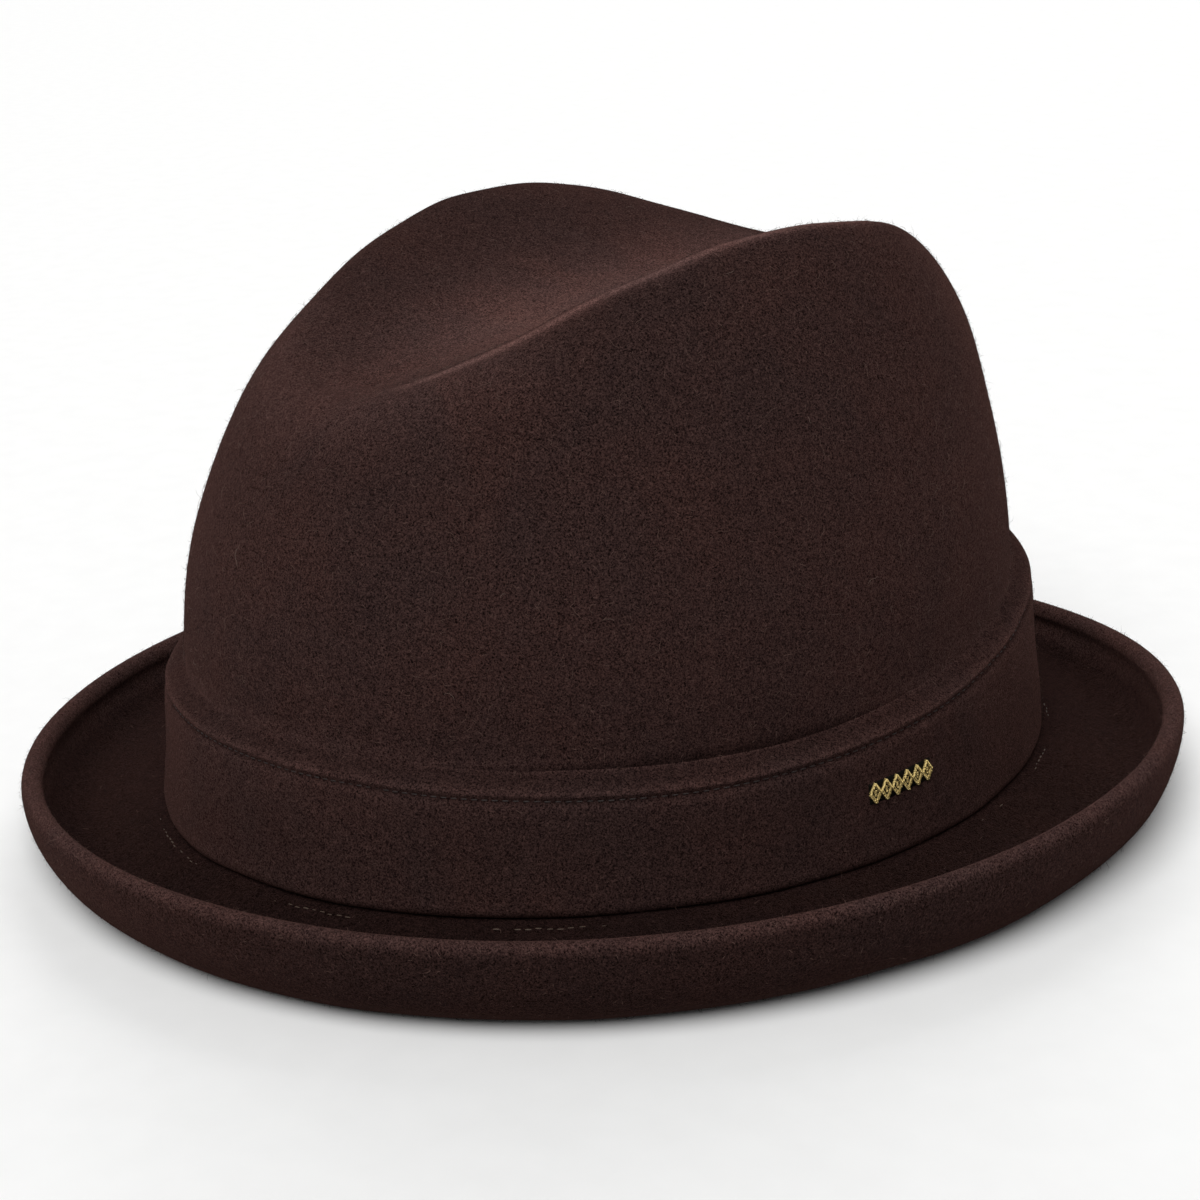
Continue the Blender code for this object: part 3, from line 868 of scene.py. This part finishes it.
def label(name, angle, size, low, material, thread):
    """A cloth label on the sweatband, its edges turned under and sewn down all round."""
    width, height = size
    radius = math.hypot(WALL_HALF_WIDTH * math.sin(angle), WALL_HALF_LENGTH * math.cos(angle))
    x = np.linspace(-1, 1, 41)
    z = np.linspace(-1, 1, 25)
    edge = np.maximum(np.abs(x[None, :]) ** 24, np.abs(z[:, None]) ** 20)
    swell = LABEL_BULGE * np.cos(x[None, :] * 1.5) * np.cos(z[:, None] * 1.5)
    lift = LABEL_RISE + swell - 0.0007 * edge
    turn = angle + x[None, :] * width / 2 / radius + 0 * z[:, None]
    up = low + height / 2 + z[:, None] * height / 2 + 0 * x[None, :]
    cloth = grid_object(name, on_sweatband(turn, lift, up), material)
    corners = [(-1, -1), (1, -1), (1, 1), (-1, 1), (-1, -1)]
    starts = []
    ends = []
    for (xa, za), (xb, zb) in zip(corners, corners[1:]):
        start = np.array((xa * (width / 2 - LABEL_INSET), za * (height / 2 - LABEL_INSET)))
        end = np.array((xb * (width / 2 - LABEL_INSET), zb * (height / 2 - LABEL_INSET)))
        count = max(3, round(np.linalg.norm(end - start) / 0.0019))
        for i in range(count):
            starts.append(start + (end - start) * (i + 0.15) / count)
            ends.append(start + (end - start) * (i + 0.85) / count)

    def place(flat, out):
        flat = np.array(flat)
        return on_sweatband(angle + flat[:, 0] / radius, out, low + height / 2 + flat[:, 1])

    lift = -outward(np.full(len(starts), angle)) * 0.0002
    paths = arcs(place(starts, 0.00042), place(ends, 0.00042), lift, 6)
    sewing = tubes(name + "_stitches", paths, 0.00011, thread, 6)
    return cloth, sewing


# --- Nap ----------------------------------------------------------------------------------------
def scatter(rows, tone, count, keep, draw):
    """Random places on a grid, closest where light is painted and sparse in painted shade, with the normals
    and tone there.
    """
    a = rows[:-1, :-1]
    u = rows[:-1, 1:] - a
    v = rows[1:, :-1] - a
    cross = np.cross(v, u)
    area = np.linalg.norm(cross, axis=-1) * keep(a) * np.clip(tone[:-1, :-1], 0.1, 1.2)
    chosen = draw.choice(area.size, size=count, p=area.ravel() / area.sum())
    i, j = np.unravel_index(chosen, area.shape)
    s = draw.random((count, 1))
    t = draw.random((count, 1))
    near = rows[i, j] * (1 - s) + rows[i, j + 1] * s
    far = rows[i + 1, j] * (1 - s) + rows[i + 1, j + 1] * s
    return near * (1 - t) + far * t, unit(cross[i, j]), tone[i, j]


def fibres(name, roots, normals, tone, materials, draw):
    """Fine wool fibres, each a curved tapering ribbon that leans out of the felt."""
    count = len(roots)
    flat = unit(np.cross(normals, draw.normal(size=(count, 3))))
    bent = unit(flat + 0.7 * np.cross(normals, flat) * draw.normal(size=(count, 1)))
    size = FIBRE_LENGTH * np.exp(0.4 * draw.normal(size=(count, 1)))
    rise = np.clip(FIBRE_LEAN * np.exp(0.5 * draw.normal(size=(count, 1))), 0, 1.2)
    side = unit(np.cross(flat, normals) + normals * draw.normal(size=(count, 1)) * 0.6)
    side = side * FIBRE_WIDTH / 2
    root = roots - normals * 0.00008
    middle = root + size * 0.5 * (flat * np.cos(rise) + normals * np.sin(rise))
    tip = middle + size * 0.5 * (bent * np.cos(rise * 0.6) + normals * np.sin(rise * 0.6))
    narrow = side * 0.8
    corners = np.stack([root - side, root + side, middle + narrow, middle - narrow, tip], axis=1)
    corners[..., 2] = np.maximum(corners[..., 2], 0.0001)
    start = np.arange(count)[:, None] * 5
    quads = (start + np.array((0, 1, 2, 3))).tolist()
    tips = (start + np.array((3, 2, 4))).tolist()
    mesh = bpy.data.meshes.new(name)
    mesh.from_pydata(corners.reshape(-1, 3).tolist(), [], quads + tips)
    # Pale fibres where light is painted, dark ones where shade is painted
    chance = draw.random(count) / np.maximum(tone, 0.05)
    pick = 2 * (chance < 0.14) + (chance >= 0.14) * (chance < 0.52)
    mesh.polygons.foreach_set("material_index", np.concatenate([pick, pick]).astype(np.int32))
    obj = add_piece(name, mesh, None)
    for material in materials:
        mesh.materials.append(material)
    return obj


def hairs(name, roots, normals, material, draw):
    """A few long loose hairs that curl over the nap."""
    count = len(roots)
    steps = 9
    heading = unit(np.cross(normals, draw.normal(size=(count, 3))))
    across = np.cross(normals, heading)
    wander = draw.normal(size=(count, steps)) * 0.35
    turn = np.cumsum(wander + draw.normal(size=(count, 1)) * 0.25, axis=1)
    size = HAIR_LENGTH * np.exp(0.35 * draw.normal(size=(count, 1, 1))) / steps
    step = heading[:, None] * np.cos(turn)[..., None] + across[:, None] * np.sin(turn)[..., None]
    paths = roots[:, None] + np.cumsum(step * size, axis=1)
    arch = 0.0003 * np.sin(np.linspace(0.1, math.pi - 0.1, steps))[None, :, None]
    paths = paths + normals[:, None] * (arch + 0.0001)
    return tubes(name, paths, FIBRE_WIDTH / 2, material, 3)


# --- Camera, light and floor --------------------------------------------------------------------
def camera():
    """A view of the hat's front and the wearer's left side from a little above the brim."""
    azimuth = math.radians(55.3)
    elevation = math.radians(18.87)
    roll = math.radians(-2.5)
    distance = 0.530
    target = Vector((0, CENTRE_Y, 0.0469))
    back = Vector((math.sin(azimuth) * math.cos(elevation),
                   -math.cos(azimuth) * math.cos(elevation), math.sin(elevation)))
    right = Vector((math.cos(azimuth), math.sin(azimuth), 0))
    up = back.cross(right)
    tilted_right = right * math.cos(roll) + up * math.sin(roll)
    tilted_up = up * math.cos(roll) - right * math.sin(roll)
    data = bpy.data.cameras.new("camera")
    data.lens = 67.2
    data.sensor_width = 36
    data.shift_x = -0.004
    data.shift_y = -0.0196
    data.clip_start = 0.01
    obj = bpy.data.objects.new("camera", data)
    turn = Matrix((tilted_right, tilted_up, back)).transposed()
    obj.matrix_world = Matrix.Translation(target + back * distance) @ turn.to_4x4()
    bpy.context.scene.collection.objects.link(obj)
    bpy.context.scene.camera = obj


def soft_sun(name, azimuth, elevation, spread, power):
    """A very large soft box far away: azimuth 0 is in front of the hat, 90 at the wearer's left."""
    light = bpy.data.lights.new(name, "SUN")
    light.energy = power
    light.angle = math.radians(spread)
    obj = bpy.data.objects.new(name, light)
    turn = math.radians(azimuth)
    rise = math.radians(elevation)
    towards = Vector((math.sin(turn) * math.cos(rise),
                      -math.cos(turn) * math.cos(rise), math.sin(rise)))
    obj.rotation_euler = towards.to_track_quat("Z", "Y").to_euler()
    bpy.context.scene.collection.objects.link(obj)


def studio():
    """A pale floor and background under two soft boxes: one high at the front, one behind."""
    bpy.ops.mesh.primitive_plane_add(size=30, location=(0, 0, 0))
    floor = bpy.context.object
    floor.name = "floor"
    recipe = Recipe("floor_paper")
    grain = recipe.noise(recipe.place(), 90.0, 3.0, 0.5)
    recipe.join(recipe.ramp(grain, 0.3, 0.7, (0.89, 0.89, 0.885), (0.91, 0.91, 0.905)), "Base Color")
    recipe.set("Roughness", 0.9)
    floor.data.materials.append(recipe.material)
    world = bpy.data.worlds.new("studio")
    bpy.context.scene.world = world
    world.use_nodes = True
    sky = world.node_tree.nodes["Background"]
    wall = world.node_tree.nodes.new("ShaderNodeBackground")
    wall.inputs["Color"].default_value = (0.95, 0.95, 0.95, 1)
    sky.inputs["Color"].default_value = (1.0, 1.0, 1.0, 1)
    sky.inputs["Strength"].default_value = 0.22
    seen = world.node_tree.nodes.new("ShaderNodeLightPath").outputs["Is Camera Ray"]
    either = world.node_tree.nodes.new("ShaderNodeMixShader")
    surface = world.node_tree.nodes["World Output"].inputs["Surface"]
    world.node_tree.links.new(seen, either.inputs[0])
    world.node_tree.links.new(sky.outputs[0], either.inputs[1])
    world.node_tree.links.new(wall.outputs[0], either.inputs[2])
    world.node_tree.links.new(either.outputs[0], surface)
    soft_sun("key", 40, 57, 50, 2.58)
    soft_sun("back", 228, 36, 40, 1.1)
    bpy.context.scene.view_settings.view_transform = "Standard"


def place_piece(obj, node):
    """Fixes a piece to the hat's body; it may stand in for a CAD node."""
    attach(obj, "root")
    if node:
        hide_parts(node)
    return obj


# --- The whole hat ------------------------------------------------------------------------------
def all_materials():
    """Every material of the hat, by a short name."""
    return {
        "felt": felt_material("brushed_felt", (0.0052, 0.0027, 0.0025), (0.0476, 0.0256, 0.0226)),
        "band": felt_material("band_felt", (0.0060, 0.0031, 0.0028), (0.0551, 0.0294, 0.0259)),
        "dark_thread": thread_material("dark_brown_thread", (0.012, 0.007, 0.006), (0.030, 0.018, 0.015)),
        "tan_thread": thread_material("tan_thread", (0.030, 0.018, 0.012), (0.095, 0.060, 0.039)),
        "gold_thread": thread_material("gold_thread", (0.13, 0.085, 0.015), (0.92, 0.70, 0.27)),
        "ground": thread_material("emblem_ground_thread", (0.002, 0.002, 0.0015), (0.007, 0.006, 0.004), 0.05),
        "ribbon": ribbon_material("sweatband_ribbon", (0.012, 0.0095, 0.009), (0.038, 0.030, 0.028)),
        "label": ribbon_material("label_cloth", (0.42, 0.39, 0.33), (0.62, 0.58, 0.50)),
        "reed": reed_material(),
        "nap": [nap_material("nap_dark", (0.010, 0.0050, 0.0045)),
                nap_material("nap_brown", (0.036, 0.0190, 0.0168)),
                nap_material("nap_pale", (0.135, 0.080, 0.066))],
        "stray_hair": nap_material("stray_hair", (0.125, 0.076, 0.062)),
        "pale_hair": nap_material("pale_hair", (0.20, 0.145, 0.12)),
    }


def place_shell(rows, tone, finish):
    shell = grid_object("felt_shell", rows, finish["felt"], tone)
    place_piece(shell, "felt_body")


def place_band(rows, tone, finish):
    """The band with the stitches that edge it and the ones that join its ends."""
    band = grid_object("felt_band", rows, finish["band"], tone)
    place_piece(band, "hat_band")
    edge = place_piece(band_edge_stitches(finish["dark_thread"]), "band_edge_thread")
    join = place_piece(band_join_stitches(finish["dark_thread"]), "band_join_thread")


def place_seam_and_emblem(finish):
    place_piece(brim_stitches(finish["tan_thread"]), "seam_needle_thread")
    place_piece(emblem_ground(finish["ground"]), "side_emblem")
    place_piece(emblem_threads(finish["gold_thread"]), None)


def place_sweatband(finish):
    """The sweatband with its two rows of stitches, and the plastic finish of the reed in its hem."""
    sweat = grid_object("sweatband_ribbon", sweatband_section(), finish["ribbon"])
    place_piece(sweat, "sweatband")
    seam = sweatband_stitches("sweatband_seam_stitches", SEAM_STITCH_UP, finish["tan_thread"])
    place_piece(seam, "seam_bobbin_thread")
    top_height = SWEATBAND_HEIGHT - TOP_STITCH_DROP
    top = sweatband_stitches("sweatband_top_stitches", top_height, finish["dark_thread"])
    place_piece(top, None)
    reed = bpy.data.objects["sweatband_reed"].data
    reed.materials.clear()
    reed.materials.append(finish["reed"])


def place_labels(finish):
    """The tape over the sweatband's join and three blank labels, each sewn down all round."""
    ribbon = finish["ribbon"]
    cloth = finish["label"]
    labels = (("sweatband_join_tape", JOIN_ANGLE, (0.012, 0.026), 0.0055, ribbon, "sweatband_cloth"),
              ("size_label", math.radians(76), (0.014, 0.016), 0.0130, cloth, "label_cloth"),
              ("care_label", math.radians(106), (0.018, 0.022), 0.0080, cloth, "label_cloth"),
              ("maker_label", math.radians(-90), (0.042, 0.020), 0.0085, cloth, "label_cloth"))
    for node, angle, size, low, material, slot in labels:
        piece, sewing = label(node + "_cloth", angle, size, low, material, finish["dark_thread"])
        place_piece(piece, node)
        place_piece(sewing, None)


def place_nap(shell, shell_painted_light, band, painted_band_light, finish):
    """Short fibres over every outer face of the felt, and a few loose hairs on the crown."""
    draw = np.random.default_rng(21)

    def on_crown(place):
        return place[..., 2] > 0.038

    def on_brim(place):
        across = place[..., 0] / WALL_HALF_WIDTH
        along = (place[..., 1] - CENTRE_Y) / WALL_HALF_LENGTH
        return (np.hypot(across, along) > 1.055) & (place[..., 2] < 0.036) & (place[..., 2] > 0.0008)

    def anywhere(place):
        return np.ones(place.shape[:-1])

    crown = slice(0, RIM_ROW)
    brim = slice(BREAK_ROW, UNDER_BREAK_ROW)
    face = slice(1, -4)
    patches = (("crown_nap", shell[crown], shell_painted_light[crown], 60000, on_crown, "felt"),
               ("brim_nap", shell[brim], shell_painted_light[brim], 40000, on_brim, "felt"),
               ("band_nap", band[face], painted_band_light[face], 16000, anywhere, "band_felt"))
    # The nap follows the painted light and shade: thick and pale on painted highlights, thin and dark in
    # painted shade
    for name, rows, tone, count, keep, slot in patches:
        roots, normals, pale = scatter(rows, tone, count, keep, draw)
        place_piece(fibres(name, roots, normals, pale, finish["nap"], draw), None)
    for name, count, material in (("stray_hairs", 900, "stray_hair"), ("pale_hairs", 26, "pale_hair")):
        roots, normals, _ = scatter(shell[crown], shell_painted_light[crown], count, on_crown, draw)
        place_piece(hairs(name, roots, normals, finish[material], draw), None)


def main():
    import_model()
    camera()
    studio()
    finish = all_materials()
    shell = close_round(felt_section())
    shell_painted_light = felt_painted_light(shell)
    band = band_section()
    painted_band_light = band_painted_light(band)
    place_shell(shell, shell_painted_light, finish)
    place_band(band, painted_band_light, finish)
    place_seam_and_emblem(finish)
    place_sweatband(finish)
    place_labels(finish)
    place_nap(shell, shell_painted_light, band, painted_band_light, finish)


main()
